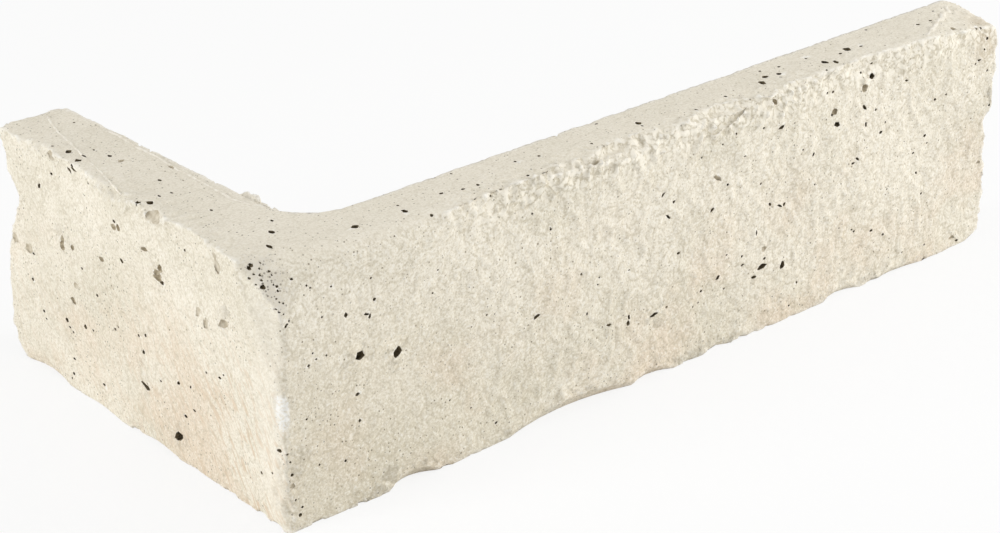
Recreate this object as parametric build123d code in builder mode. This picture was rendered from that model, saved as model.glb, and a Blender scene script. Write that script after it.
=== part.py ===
# Brick veneer corner: an L-shaped cast facing unit that wraps the outside corner of a wall.
# Millimetres. The two flat backs lie on the planes x = 0 and y = 0, so the origin is the wall's
# arris at the level of the bed. The long arm runs along +X, the short arm along +Y, +Z is up.

import os
from math import pi, sin

from build123d import *

# Overall sizes, measured over the rough outside
long_length = 246.0  # outside corner to the end of the long arm
short_length = 126.5  # outside corner to the end of the short arm
height = 66.0
long_thickness = 18.0
short_root_thickness = 23.0  # short arm at the corner, at the top
short_end_thickness = 19.0  # short arm at its free end
root_lean = 2.0  # how much further out the short face stands at the top of the corner than at the bed
cove_radius = 15.0  # inside angle between the two backs

# Slow waves of the rough outside faces, and the shorter ripples on them
wave_depth = 0.6
wave_length_along = 58.0
wave_length_up = 47.0
ripple_depth = 0.3
ripple_length_along = 23.0
ripple_length_up = 31.0
section_spacing = 15.6  # between the plan sections that shape a face, from the bed to the top
long_point_spacing = 18.4  # between the points of a section, along the long face
short_point_spacing = 9.9  # and along the short one
cutter_margin = 6.0  # how far a cutting body stands clear of the block

# The worn outside corner at the top: how far the wear reaches along its three edges
worn_drop = 15.0  # down the upright edge
worn_along_long = 27.0
worn_along_short = 12.0

# The broken top of the long arm's free end
break_drop = 5.0  # down the end, on the outside face
break_along_front = 30.0  # back from the end, on the outside face
break_along_back = 5.0  # back from the end, on the back

# Broken outlines of the two free ends: (set back from the end, share of the height)
long_end_outline = [
    (10.0, 0.0),
    (4.0, 0.03),
    (2.6, 0.33),
    (5.0, 0.385),
    (3.8, 0.45),
    (4.8, 0.545),
    (2.2, 0.57),
    (0.8, 0.75),
    (0.0, 0.87),
    (0.4, 0.93),
    (1.0, 0.97),
    (3.5, 1.0),
]
short_end_outline = [
    (5.0, 0.0),
    (1.2, 0.05),
    (0.0, 0.17),
    (0.7, 0.46),
    (2.6, 0.54),
    (6.2, 0.63),
    (9.6, 0.71),
    (9.6, 0.77),
    (7.0, 0.82),
    (6.8, 0.9),
    (4.8, 0.96),
    (5.6, 1.0),
]

# Chips out of the edges: (share of the way along the edge, length, depth)
long_bottom_chips = [
    (0.158, 15.0, 2.3),
    (0.36, 44.0, 2.8),
    (0.47, 15.0, 1.8),
    (0.565, 9.0, 1.5),
    (0.755, 15.0, 1.9),
    (0.84, 18.0, 0.9),
]
long_top_chips = [
    (0.375, 26.0, 1.7),
    (0.455, 32.0, 2.8),
    (0.57, 26.0, 2.7),
    (0.695, 24.0, 1.2),
]
short_bottom_chips = [
    (0.46, 20.0, 0.8),
    (0.88, 22.0, 1.3),
]
short_top_chips = [
    (0.38, 12.0, 1.4),
    (0.53, 16.0, 1.0),
    (0.80, 18.0, 1.2),
]
upright_chips = [
    (0.09, 11.0, 1.5),
    (0.48, 14.0, 1.0),
]

# The largest air-bubble pits: (share of the way along the face, share of the way up it, width)
long_face_pits = [
    (0.102, 0.57, 2.2),
    (0.145, 0.53, 2.6),
    (0.474, 0.27, 2.2),
    (0.739, 0.76, 2.0),
    (0.791, 0.91, 2.2),
]
short_face_pits = [
    (0.163, 0.71, 2.6),
    (0.373, 0.10, 2.2),
    (0.39, 0.745, 3.4),
    (0.472, 0.24, 2.4),
    (0.739, 0.65, 2.8),
]
# and in the top of the long arm: (share of the way along, share of the way in from the face, width)
top_pits = [
    (0.126, 0.42, 2.2),
    (0.788, 0.49, 2.6),
]
pit_depth = 0.4  # of a pit's width

# Places that follow from the sizes
corner_x = -short_root_thickness
corner_y = -long_thickness
long_end_x = corner_x + long_length
short_end_y = corner_y + short_length
mean_relief = wave_depth + ripple_depth


def short_face_x(y, z):
    """The short arm's nominal outside face, which closes in towards the free end and the bed."""
    share = (y - corner_y) / short_length
    taper = (short_root_thickness - short_end_thickness) * share
    lean = root_lean * (1 - z / height) * (1 - share)
    return corner_x + taper + lean


def relief(along, up):
    """How far a rough face lies in from its nominal plane."""
    wave = sin(2 * pi * along / wave_length_along) * sin(2 * pi * up / wave_length_up)
    ripple = sin(2 * pi * (along + up / 2) / ripple_length_along) * sin(2 * pi * up / ripple_length_up)
    return mean_relief + wave_depth * wave + ripple_depth * ripple


def spread(length, spacing):
    """Even places about one spacing apart, from the cutter's margin before 0 to that margin past the length."""
    reach = length + 2 * cutter_margin
    steps = round(reach / spacing)
    return [reach * i / steps - cutter_margin for i in range(steps + 1)]


def bite(point, outward, length, depth):
    """Takes a hollow chip or pit of this length and depth out of an edge or a face."""
    out = Vector(*outward).normalized()
    radius = (length**2 / 4 + depth**2) / (2 * depth)
    middle = Vector(*point) + out * (radius - depth)
    across = Plane(middle, z_dir=out).x_dir
    with Locations(Plane(middle, x_dir=out, z_dir=across)):
        Sphere(radius, mode=Mode.SUBTRACT)


def knock_off(first, second, third):
    """Cuts away what lies outside the plane through three points, taken anticlockwise from outside."""
    across = Vector(*second) - Vector(*first)
    normal = across.cross(Vector(*third) - Vector(*first))
    with Locations(Plane(first, x_dir=across, z_dir=normal)):
        size = long_length
        Box(size, size, size, align=(Align.CENTER, Align.CENTER, Align.MIN), mode=Mode.SUBTRACT)


def end_cut(plane, end, outline, depth):
    """Breaks a free end back to its outline, through the thickness of the arm."""
    beyond = end + cutter_margin
    with BuildSketch(plane) as broken_off:
        with BuildLine():
            edge = [(end - setback, share * height) for setback, share in outline]
            below = (edge[0][0], -cutter_margin)
            above = (edge[-1][0], height + cutter_margin)
            Polyline(below, *edge, above, (beyond, above[1]), (beyond, below[1]), close=True)
        make_face()
    extrude(broken_off.sketch, amount=depth, both=True, mode=Mode.SUBTRACT)


# What lies outside the long arm's rough face
with BuildPart() as outside_long:
    for level in spread(height, section_spacing):
        with BuildSketch(Plane.XY.offset(level)):
            with BuildLine():
                places = spread(long_length, long_point_spacing)
                face = Spline(*[(corner_x + s, corner_y + relief(s, level)) for s in places])
                far = corner_y - cutter_margin
                Polyline(face @ 1, ((face @ 1).X, far), ((face @ 0).X, far), face @ 0)
            make_face()
    loft()

# What lies outside the short arm's rough face
with BuildPart() as outside_short:
    for level in spread(height, section_spacing):
        with BuildSketch(Plane.XY.offset(level)):
            with BuildLine():
                places = [corner_y + s for s in spread(short_length, short_point_spacing)]
                face = Spline(*[(short_face_x(y, level) + relief(y, level), y) for y in places])
                far = corner_x - cutter_margin
                Polyline(face @ 1, (far, (face @ 1).Y), (far, (face @ 0).Y), face @ 0)
            make_face()
    loft()

with BuildPart() as veneer_corner:
    # The plan: two arms with a cove in the inside angle
    with BuildSketch():
        with BuildLine():
            Polyline(
                (corner_x, corner_y),
                (long_end_x, corner_y),
                (long_end_x, 0),
                (0, 0),
                (0, short_end_y),
                (-short_end_thickness, short_end_y),
                close=True,
            )
        plan = make_face()
        inside_angle = plan.vertices().sort_by_distance((0, 0))[0]
        fillet(inside_angle, cove_radius)
    extrude(amount=height)

    # Rough outside faces
    add(outside_long.part, mode=Mode.SUBTRACT)
    add(outside_short.part, mode=Mode.SUBTRACT)

    # Broken free ends
    end_cut(Plane.XZ, long_end_x, long_end_outline, 2 * long_thickness)
    end_cut(Plane.YZ, short_end_y, short_end_outline, 2 * short_root_thickness)

    # The worn corner, and the broken top of the long arm's end
    knock_off(
        (corner_x, corner_y, height - worn_drop),
        (corner_x + worn_along_long, corner_y, height),
        (corner_x, corner_y + worn_along_short, height),
    )
    knock_off(
        (long_end_x - break_along_front, corner_y, height),
        (long_end_x, corner_y, height - break_drop),
        (long_end_x - break_along_back, 0, height),
    )

    # Chips along the outside edges
    for share, length, depth in long_bottom_chips:
        bite((corner_x + share * long_length, corner_y + mean_relief, 0), (0, -1, -1), length, depth)
    for share, length, depth in long_top_chips:
        bite((corner_x + share * long_length, corner_y + mean_relief, height), (0, -1, 1), length, depth)
    for share, length, depth in short_bottom_chips:
        y = corner_y + share * short_length
        bite((short_face_x(y, 0) + mean_relief, y, 0), (-1, 0, -1), length, depth)
    for share, length, depth in short_top_chips:
        y = corner_y + share * short_length
        bite((short_face_x(y, height) + mean_relief, y, height), (-1, 0, 1), length, depth)
    for share, length, depth in upright_chips:
        z = share * height
        bite((short_face_x(corner_y, z) + mean_relief, corner_y + mean_relief, z), (-1, -1, 0), length, depth)

    # Air-bubble pits
    for along_share, up_share, width in long_face_pits:
        along = along_share * long_length
        z = up_share * height
        bite((corner_x + along, corner_y + relief(along, z), z), (0, -1, 0), width, pit_depth * width)
    for along_share, up_share, width in short_face_pits:
        y = corner_y + along_share * short_length
        z = up_share * height
        bite((short_face_x(y, z) + relief(y, z), y, z), (-1, 0, 0), width, pit_depth * width)
    for along_share, in_share, width in top_pits:
        point = (corner_x + along_share * long_length, corner_y + in_share * long_thickness, height)
        bite(point, (0, 0, 1), width, pit_depth * width)

veneer_corner.part.label = "veneer_corner"
os.makedirs("parts", exist_ok=True)
export_step(veneer_corner.part, "parts/veneer_corner.step")
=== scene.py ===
import random
from math import radians

import bpy
import numpy as np
from mathutils import Matrix, Quaternion, Vector
from mathutils.bvhtree import BVHTree


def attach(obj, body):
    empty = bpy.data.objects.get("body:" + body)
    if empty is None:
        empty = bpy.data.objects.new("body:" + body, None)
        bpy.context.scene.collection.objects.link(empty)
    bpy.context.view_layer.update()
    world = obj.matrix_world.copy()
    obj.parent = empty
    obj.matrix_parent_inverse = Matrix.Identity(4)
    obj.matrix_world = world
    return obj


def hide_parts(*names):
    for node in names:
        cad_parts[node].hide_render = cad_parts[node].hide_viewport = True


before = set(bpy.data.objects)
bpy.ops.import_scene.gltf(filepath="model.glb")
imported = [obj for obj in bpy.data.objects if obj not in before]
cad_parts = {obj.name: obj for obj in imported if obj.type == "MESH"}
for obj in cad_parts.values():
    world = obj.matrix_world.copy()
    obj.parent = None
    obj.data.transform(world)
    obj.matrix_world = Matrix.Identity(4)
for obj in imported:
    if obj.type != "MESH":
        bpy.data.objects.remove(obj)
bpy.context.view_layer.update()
mm = 0.001  # every size below is in millimetres until it meets Blender
print("frame loaded:", sorted(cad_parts))


# general tools

def deselectAll():
    if bpy.context.object and bpy.context.object.mode != "OBJECT":
        bpy.ops.object.mode_set(mode="OBJECT")
    bpy.ops.object.select_all(action="DESELECT")


def makeActive(piece):
    deselectAll()
    piece.select_set(True)
    bpy.context.view_layer.objects.active = piece


def finishWith(piece, kind, **settings):
    makeActive(piece)
    bpy.ops.object.modifier_add(type=kind)
    modifier = piece.modifiers[-1]
    for setting, value in settings.items():
        setattr(modifier, setting, value)
    bpy.ops.object.modifier_apply(modifier=modifier.name)


def joinCutter(piece, cutter, operation):
    # index mode keeps each side's own material slot
    finishWith(piece, "BOOLEAN", object=cutter, operation=operation,
               solver="MANIFOLD", material_mode="INDEX")
    bpy.data.objects.remove(cutter)


def pebble(subdivisions, jitter, seed):
    # an uneven ball one unit across, the start of every chip, pit and lump
    deselectAll()
    bpy.ops.mesh.primitive_ico_sphere_add(subdivisions=subdivisions, radius=0.5, location=(0, 0, 0))
    made = bpy.context.active_object
    bpy.ops.object.mode_set(mode="EDIT")
    bpy.ops.mesh.select_all(action="SELECT")
    bpy.ops.transform.vertex_random(offset=jitter, uniform=0.6, normal=0.4, seed=seed)
    bpy.ops.object.mode_set(mode="OBJECT")
    return made


def takeFinishes(piece, finish):
    # all that is joined has the same material slots in the same order, and wears one of them
    piece.data.materials.clear()
    for material in finishes.values():
        piece.data.materials.append(material)
    slot = list(finishes).index(finish)
    piece.data.polygons.foreach_set("material_index", [slot] * len(piece.data.polygons))


def setOut(starts, places, finish="castWhiteCement"):
    # one copy of a pebble for each place, each with its own mesh, joined to one object
    copies = []
    for number, matrix in enumerate(places):
        start = starts[number % len(starts)]
        mesh = start.data.copy()
        mesh.transform(matrix)
        copy = bpy.data.objects.new("cutter", mesh)
        bpy.context.scene.collection.objects.link(copy)
        copies.append(copy)
    deselectAll()
    for copy in copies:
        copy.select_set(True)
    bpy.context.view_layer.objects.active = copies[0]
    if len(copies) > 1:
        bpy.ops.object.join()
    joined = copies[0]
    takeFinishes(joined, finish)
    return joined


def placed(centre, along, up, sizes, turn=0.0):
    # a pebble's matrix: its three sizes lie along the face, up it and into it
    along, up = Vector(along), Vector(up)
    into = along.cross(up)
    spin = Quaternion(into, radians(turn))
    axes = [spin @ along * sizes[0], spin @ up * sizes[1], into * sizes[2]]
    matrix = Matrix.Identity(4)
    for column, axis in enumerate(axes):
        for row in range(3):
            matrix[row][column] = axis[row] * mm
    matrix.translation = Vector(centre) * mm
    return matrix


# looking at the casting square on, from each side
viewDistance = 300
views = {
    "long": {"along": (1, 0, 0), "up": (0, 0, 1), "out": (0, -1, 0)},
    "short": {"along": (0, 1, 0), "up": (0, 0, 1), "out": (-1, 0, 0)},
    "top": {"along": (1, 0, 0), "up": (0, 1, 0), "out": (0, 0, 1)},
    "shortEdge": {"along": (0, 1, 0), "up": (0.73, 0, 0.683), "out": (-0.683, 0, 0.73)},
}
views["rubbed"] = views["long"]  # the rubbed corner is seen on the long face


def surfaceAt(tree, along, up, view):
    # the point of the casting that this view sees there
    out = Vector(view["out"])
    start = (Vector(view["along"]) * along + Vector(view["up"]) * up + out * viewDistance) * mm
    return tree.ray_cast(start, -out)[0]


# materials

def linear(hexColour):
    # sRGB hex to the linear colour that a socket takes
    channels = [int(hexColour[i:i + 2], 16) / 255 for i in (0, 2, 4)]
    return [c / 12.92 if c <= 0.04045 else ((c + 0.055) / 1.055) ** 2.4 for c in channels] + [1.0]


def addNode(tree, kind, links=None, values=None, **settings):
    node = tree.nodes.new("ShaderNode" + kind)
    for setting, value in settings.items():
        setattr(node, setting, value)
    for socket, value in (values or {}).items():
        node.inputs[socket].default_value = value
    for socket, source in (links or {}).items():
        tree.links.new(source, node.inputs[socket])
    return node


def newMaterial(name):
    material = bpy.data.materials.new(name)
    material.use_nodes = True
    material.node_tree.nodes.clear()
    return material, material.node_tree


def perSize(size):
    return 1000 / size  # pattern scale for a repeat of this many millimetres


def patchEdge(tree, spot, ragged, patch):
    # rises from the middle of a patch to its reach, unevenly
    middle, reach, turn = patch
    inPatch = addNode(tree, "Mapping", {0: spot},
                      {1: [side * mm for side in middle], 2: [radians(angle) for angle in turn],
                       3: [side * mm for side in reach]}, vector_type="TEXTURE")
    distance = addNode(tree, "VectorMath", {0: inPatch.outputs[0]}, operation="LENGTH").outputs["Value"]
    return addNode(tree, "Math", {0: distance, 1: ragged.outputs[0]}, operation="ADD").outputs[0]


# white cement and pale sand, cast in a rough mould: chalky, cream, clouded in grey and
# pinkish beige where the mix was richer, with fine grain, dark specks of painted pinhole shade and no
# gloss
cementLook = {
    "cream": "EDE6D6", "grey": "E0D9C7", "topGrey": "E7E0D0", "blush": "E6D8C4", "lowCornerTone": "D6CDB8",
    # the dark speck, hollow and fleck colours here also serve as painted shade in pinholes, hollows and
    # creases, and painted highlight on ridges
    "brown": "C9BBA4", "pinholeShade": "6F6450", "hollow": "B9AE96", "fleckAndRidgeHighlight": "FAF7EF", "streak": "D8C5AC",
    "worn": "CAC4B9", "pit": "5B5246", "rubbedEdge": "F4EEE0", "salt": "F7F6F2",
    # sizes of the patterns
    "cloudSize": 34.0, "blushSize": 30.0, "raggedSize": 3.2, "grainSize": 0.6, "speckSpacing": 1.0,
    "pitSpacing": 0.7, "streakWidth": 0.8, "streakLength": 4.5, "streakLean": -29, "flakeSize": 3.4,
    "flakeHeight": 0.11, "crumbSize": 1.9, "gritSize": 0.8, "gritHeight": 0.1,
    # uneven patches: middle, reach each way, turn in degrees
    "dustPatch": ((218.5, -15.5, 59.0), (8.5, 12.0, 9.0), (0, 0, 0)),
    "wornPatch": ((-18.6, -12.2, 60.0), (6.2, 6.2, 11.0), (-35, 8, 0)),
    "rubbedPatch": ((-20.3, -13.0, 0.0), (4.5, 6.0, 10000.0), (0, 0, 0)),  # all the way up
    "saltPatch": ((-19.2, -16.3, 31.6), (1.5, 2.4, 5.4), (0, 0, 0)),
    # how much of each tone there is where it is strongest
    "strength": {
        "blush": 0.9, "lowCornerTone": 0.55, "topGrey": 0.6, "dust": 0.9, "grain": 0.6, "fleckAndRidgeHighlight": 0.7,
        "streak": 0.85, "crease": 0.4, "crumbGap": 0.45, "crumbTop": 0.8, "hollow": 0.4, "ridge": 0.75,
        "worn": 0.8, "rubbed": 0.3, "salt": 0.95,
    },
    "roughness": 0.9, "specular": 0.25, "ior": 1.5,
}
castCement, tree = newMaterial("castWhiteCement")
look, strength = cementLook, cementLook["strength"]
spot = addNode(tree, "TexCoord").outputs["Object"]
axes = addNode(tree, "SeparateXYZ", {0: spot}).outputs
surface = addNode(tree, "NewGeometry").outputs
facing = addNode(tree, "SeparateXYZ", {0: surface["Normal"]}).outputs
ragged = addNode(tree, "TexNoise", {"Vector": spot},
                 {"Scale": perSize(look["raggedSize"]), "Detail": 3.0})
grit = addNode(tree, "TexNoise", {"Vector": spot}, {"Scale": perSize(look["gritSize"]), "Detail": 3.0})

# slow clouds of cream and grey
cloud = addNode(tree, "TexNoise", {"Vector": spot},
                {"Scale": perSize(look["cloudSize"]), "Detail": 4.0, "Roughness": 0.6})
cloudShare = addNode(tree, "MapRange", {0: cloud.outputs[0]}, {1: 0.4, 2: 0.66},
                     interpolation_type="SMOOTHSTEP")
colour = addNode(tree, "Mix", {0: cloudShare.outputs[0]},
                 {6: linear(look["cream"]), 7: linear(look["grey"])}, data_type="RGBA")

tones = []  # laid over the clouds in this order: where each shows, and its colour

# pinkish beige low on the faces
away = addNode(tree, "Mapping", {0: spot}, {1: (0.31, 0.17, 0.23)})  # another part of the noise
blush = addNode(tree, "TexNoise", {"Vector": away.outputs[0]},
                {"Scale": perSize(look["blushSize"]), "Detail": 3.0, "Roughness": 0.6})
blushShare = addNode(tree, "MapRange", {0: blush.outputs[0]}, {1: 0.46, 2: 0.66, 4: strength["blush"]},
                     interpolation_type="SMOOTHSTEP")
lowShare = addNode(tree, "MapRange", {0: axes[2]}, {1: 56 * mm, 2: 18 * mm},
                   interpolation_type="SMOOTHSTEP")
lowBlush = addNode(tree, "Math", {0: blushShare.outputs[0], 1: lowShare.outputs[0]}, operation="MULTIPLY")
tones.append((lowBlush, "blush"))

# darker, greyer and a little green towards the lower corner of the long face
cornerShare = addNode(tree, "MapRange", {0: axes[0]}, {1: 55 * mm, 2: -10 * mm},
                      interpolation_type="SMOOTHSTEP")
frontShare = addNode(tree, "MapRange", {0: facing[1]}, {1: -0.4, 2: -0.8})
lowFront = addNode(tree, "MapRange", {0: axes[2]}, {1: 60 * mm, 2: 30 * mm, 4: strength["lowCornerTone"]},
                   interpolation_type="SMOOTHSTEP")
lowCornerTone = addNode(tree, "Math", {0: cornerShare.outputs[0], 1: frontShare.outputs[0]}, operation="MULTIPLY")
lowCornerTone = addNode(tree, "Math", {0: lowCornerTone.outputs[0], 1: lowFront.outputs[0]}, operation="MULTIPLY")
tones.append((lowCornerTone, "lowCornerTone"))

# the struck top is greyer than the faces
upShare = addNode(tree, "MapRange", {0: facing[2]}, {1: 0.5, 2: 0.9, 4: strength["topGrey"]})
tones.append((upShare, "topGrey"))

# pinkish brown dust on the broken end
dustEdge = patchEdge(tree, spot, ragged, look["dustPatch"])
dustShare = addNode(tree, "MapRange", {0: dustEdge}, {1: 1.6, 2: 0.8, 4: strength["dust"]},
                    interpolation_type="SMOOTHSTEP")
dustPatches = addNode(tree, "MapRange", {0: ragged.outputs[0]}, {1: 0.4, 2: 0.58, 3: 0.25, 4: 1.0})
dustShare = addNode(tree, "Math", {0: dustShare.outputs[0], 1: dustPatches.outputs[0]},
                    operation="MULTIPLY")
tones.append((dustShare, "brown"))

# fine sand: soft grain, then dark specks, the painted shade of pinholes too small for the mesh
# both are stronger on the long face than on the short one, and faint on the top
sideShare = addNode(tree, "MapRange", {0: facing[2]}, {1: 0.9, 2: 0.5, 3: 0.6, 4: 1.0})
longShare = addNode(tree, "MapRange", {0: facing[1]}, {1: -0.2, 2: -0.7, 3: 0.95, 4: 1.0})
farShare = addNode(tree, "MapRange", {0: axes[0]}, {1: -20 * mm, 2: 50 * mm, 3: 0.9, 4: 1.0})
roughShare = addNode(tree, "Math", {0: sideShare.outputs[0], 1: longShare.outputs[0]},
                     operation="MULTIPLY")
roughShare = addNode(tree, "Math", {0: roughShare.outputs[0], 1: farShare.outputs[0]},
                     operation="MULTIPLY")
grain = addNode(tree, "TexNoise", {"Vector": spot},
                {"Scale": perSize(look["grainSize"]), "Detail": 3.0, "Roughness": 0.7})
grainShare = addNode(tree, "MapRange", {0: grain.outputs[0]}, {1: 0.52, 2: 0.3, 4: strength["grain"]})
grainShare = addNode(tree, "Math", {0: grainShare.outputs[0], 1: roughShare.outputs[0]},
                     operation="MULTIPLY")
tones.append((grainShare, "hollow"))
fleckShare = addNode(tree, "MapRange", {0: grain.outputs[0]}, {1: 0.5, 2: 0.7, 4: strength["fleckAndRidgeHighlight"]})
fleckShare = addNode(tree, "Math", {0: fleckShare.outputs[0], 1: roughShare.outputs[0]},
                     operation="MULTIPLY")
tones.append((fleckShare, "fleckAndRidgeHighlight"))
speckCells = addNode(tree, "TexVoronoi", {"Vector": spot}, {"Scale": perSize(look["speckSpacing"])})
chosen = addNode(tree, "SeparateColor", {0: speckCells.outputs["Color"]})
speckWidth = addNode(tree, "MapRange", {0: chosen.outputs[0]}, {1: 0.2, 2: 1.0, 3: 0.0, 4: 0.25})
speck = addNode(tree, "Math", {0: speckCells.outputs["Distance"], 1: speckWidth.outputs[0]},
                operation="LESS_THAN")
speckDepth = addNode(tree, "MapRange", {0: chosen.outputs[1]}, {3: 0.25, 4: 0.9})
speckShare = addNode(tree, "Math", {0: speck.outputs[0], 1: speckDepth.outputs[0]}, operation="MULTIPLY")
tones.append((speckShare, "pinholeShade"))

# slanting beige streaks low on the short face
streakSizes = [look[side] * mm for side in ("streakWidth", "streakWidth", "streakLength")]
streakPlace = addNode(tree, "Mapping", {0: spot}, {2: (radians(look["streakLean"]), 0, 0), 3: streakSizes},
                      vector_type="TEXTURE")
streaks = addNode(tree, "TexNoise", {"Vector": streakPlace.outputs[0]},
                  {"Scale": 0.7, "Detail": 3.0, "Distortion": 0.6})
streakShare = addNode(tree, "MapRange", {0: streaks.outputs[0]}, {1: 0.5, 2: 0.62, 4: strength["streak"]},
                      interpolation_type="SMOOTHSTEP")
sideways = addNode(tree, "MapRange", {0: facing[0]}, {1: -0.6, 2: -0.9})
besideEdge = addNode(tree, "MapRange", {0: axes[1]}, {1: 60 * mm, 2: 0.0, 3: 0.25, 4: 1.0})
sideways = addNode(tree, "Math", {0: sideways.outputs[0], 1: besideEdge.outputs[0]}, operation="MULTIPLY")
streakShare = addNode(tree, "Math", {0: streakShare.outputs[0], 1: sideways.outputs[0]},
                      operation="MULTIPLY")
streakShare = addNode(tree, "Math", {0: streakShare.outputs[0], 1: lowShare.outputs[0]},
                      operation="MULTIPLY")
tones.append((streakShare, "streak"))

# thin crooked creases between flakes, painted darker as shade where the bump sinks them
ridges = {"Roughness": 0.5, "Offset": 1.0, "Gain": 1.5}
flakes = addNode(tree, "TexNoise", {"Vector": spot},
                 {"Scale": perSize(look["flakeSize"]), "Detail": 3.0, **ridges},
                 noise_type="RIDGED_MULTIFRACTAL")
creaseShare = addNode(tree, "MapRange", {0: flakes.outputs[0]}, {1: 1.25, 2: 1.7, 4: strength["crease"]})
creaseShare = addNode(tree, "Math", {0: creaseShare.outputs[0], 1: roughShare.outputs[0]},
                      operation="MULTIPLY")
tones.append((creaseShare, "hollow"))

# pale crumbs with painted shade in the gaps between them, where the top edge of the long face has crumbled
crumbled = addNode(tree, "MapRange", {0: axes[2]}, {1: 55 * mm, 2: 61 * mm},
                   interpolation_type="SMOOTHSTEP")
crumbledNear = addNode(tree, "MapRange", {0: axes[0]}, {1: 22 * mm, 2: 48 * mm},
                       interpolation_type="SMOOTHSTEP")
crumbledSide = addNode(tree, "MapRange", {0: facing[2]}, {1: 0.93, 2: 0.75})
crumbled = addNode(tree, "Math", {0: crumbled.outputs[0], 1: crumbledNear.outputs[0]},
                   operation="MULTIPLY")
crumbled = addNode(tree, "Math", {0: crumbled.outputs[0], 1: crumbledSide.outputs[0]},
                   operation="MULTIPLY")
crumbs = addNode(tree, "TexNoise", {"Vector": spot},
                 {"Scale": perSize(look["crumbSize"]), "Detail": 2.0, **ridges},
                 noise_type="RIDGED_MULTIFRACTAL")
crumbGap = addNode(tree, "MapRange", {0: crumbs.outputs[0]}, {1: 1.1, 2: 1.6, 4: strength["crumbGap"]})
crumbGap = addNode(tree, "Math", {0: crumbGap.outputs[0], 1: crumbled.outputs[0]}, operation="MULTIPLY")
crumbTop = addNode(tree, "MapRange", {0: crumbs.outputs[0]}, {1: 1.2, 2: 0.75, 4: strength["crumbTop"]})
crumbTop = addNode(tree, "Math", {0: crumbTop.outputs[0], 1: crumbled.outputs[0]}, operation="MULTIPLY")
tones.append((crumbTop, "rubbedEdge"))
tones.append((crumbGap, "hollow"))

# painted shade in the hollows of the relief, and painted highlight on its ridges, both read from the
# mesh's pointiness
hollowShare = addNode(tree, "MapRange", {0: surface["Pointiness"]},
                      {1: 0.485, 2: 0.39, 4: strength["hollow"]})
tones.append((hollowShare, "hollow"))
ridgeHighlightShare = addNode(tree, "MapRange", {0: surface["Pointiness"]},
                     {1: 0.52, 2: 0.59, 4: strength["ridge"]})
tones.append((ridgeHighlightShare, "fleckAndRidgeHighlight"))

# the rubbed, pitted corner under the top, mauve grey
wornEdge = patchEdge(tree, spot, ragged, look["wornPatch"])
wornShare = addNode(tree, "MapRange", {0: wornEdge}, {1: 1.6, 2: 0.7, 4: strength["worn"]},
                    interpolation_type="SMOOTHSTEP")
notShort = addNode(tree, "MapRange", {0: facing[0]}, {1: -0.85, 2: -0.6})
wornShare = addNode(tree, "Math", {0: wornShare.outputs[0], 1: notShort.outputs[0]}, operation="MULTIPLY")
wornPatches = addNode(tree, "MapRange", {0: grain.outputs[0]}, {1: 0.36, 2: 0.6, 3: 0.2, 4: 1.0})
wornFilm = addNode(tree, "Math", {0: wornShare.outputs[0], 1: wornPatches.outputs[0]},
                   operation="MULTIPLY")
tones.append((wornFilm, "worn"))
# the pits are dark dots, painted shade of pinholes too small for the mesh
pinholes = addNode(tree, "TexVoronoi", {"Vector": away.outputs[0]},
                   {"Scale": perSize(look["pitSpacing"])})
pinholePick = addNode(tree, "SeparateColor", {0: pinholes.outputs["Color"]})
pinholeWidth = addNode(tree, "MapRange", {0: pinholePick.outputs[0]}, {1: 0.2, 2: 1.0, 3: 0.0, 4: 0.45})
pinhole = addNode(tree, "Math", {0: pinholes.outputs["Distance"], 1: pinholeWidth.outputs[0]},
                  operation="LESS_THAN")
pinholeShare = addNode(tree, "Math", {0: pinhole.outputs[0], 1: wornShare.outputs[0]},
                       operation="MULTIPLY")
tones.append((pinholeShare, "pit"))

# the upright edge, rubbed lighter on its short side
rubbedSide = patchEdge(tree, spot, ragged, look["rubbedPatch"])
rubbedShare = addNode(tree, "MapRange", {0: rubbedSide}, {1: 1.7, 2: 0.9, 4: strength["rubbed"]},
                      interpolation_type="SMOOTHSTEP")
notLong = addNode(tree, "MapRange", {0: facing[1]}, {1: -0.85, 2: -0.6})
rubbedShare = addNode(tree, "Math", {0: rubbedShare.outputs[0], 1: notLong.outputs[0]},
                      operation="MULTIPLY")
tones.append((rubbedShare, "rubbedEdge"))

# lime salts on the upright edge
saltEdge = patchEdge(tree, spot, ragged, look["saltPatch"])
saltEdge = addNode(tree, "Math", {0: saltEdge, 1: grain.outputs[0]}, operation="ADD").outputs[0]
saltShare = addNode(tree, "MapRange", {0: saltEdge}, {1: 2.05, 2: 1.75, 4: strength["salt"]},
                    interpolation_type="SMOOTHSTEP")
saltCrust = addNode(tree, "MapRange", {0: grit.outputs[0]}, {1: 0.4, 2: 0.55, 3: 0.25, 4: 1.0})
saltShare = addNode(tree, "Math", {0: saltShare.outputs[0], 1: saltCrust.outputs[0]},
                    operation="MULTIPLY")
tones.append((saltShare, "salt"))

for share, tone in tones:
    colour = addNode(tree, "Mix", {0: share.outputs[0], 6: colour.outputs[2]}, {7: linear(look[tone])},
                     data_type="RGBA")

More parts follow.
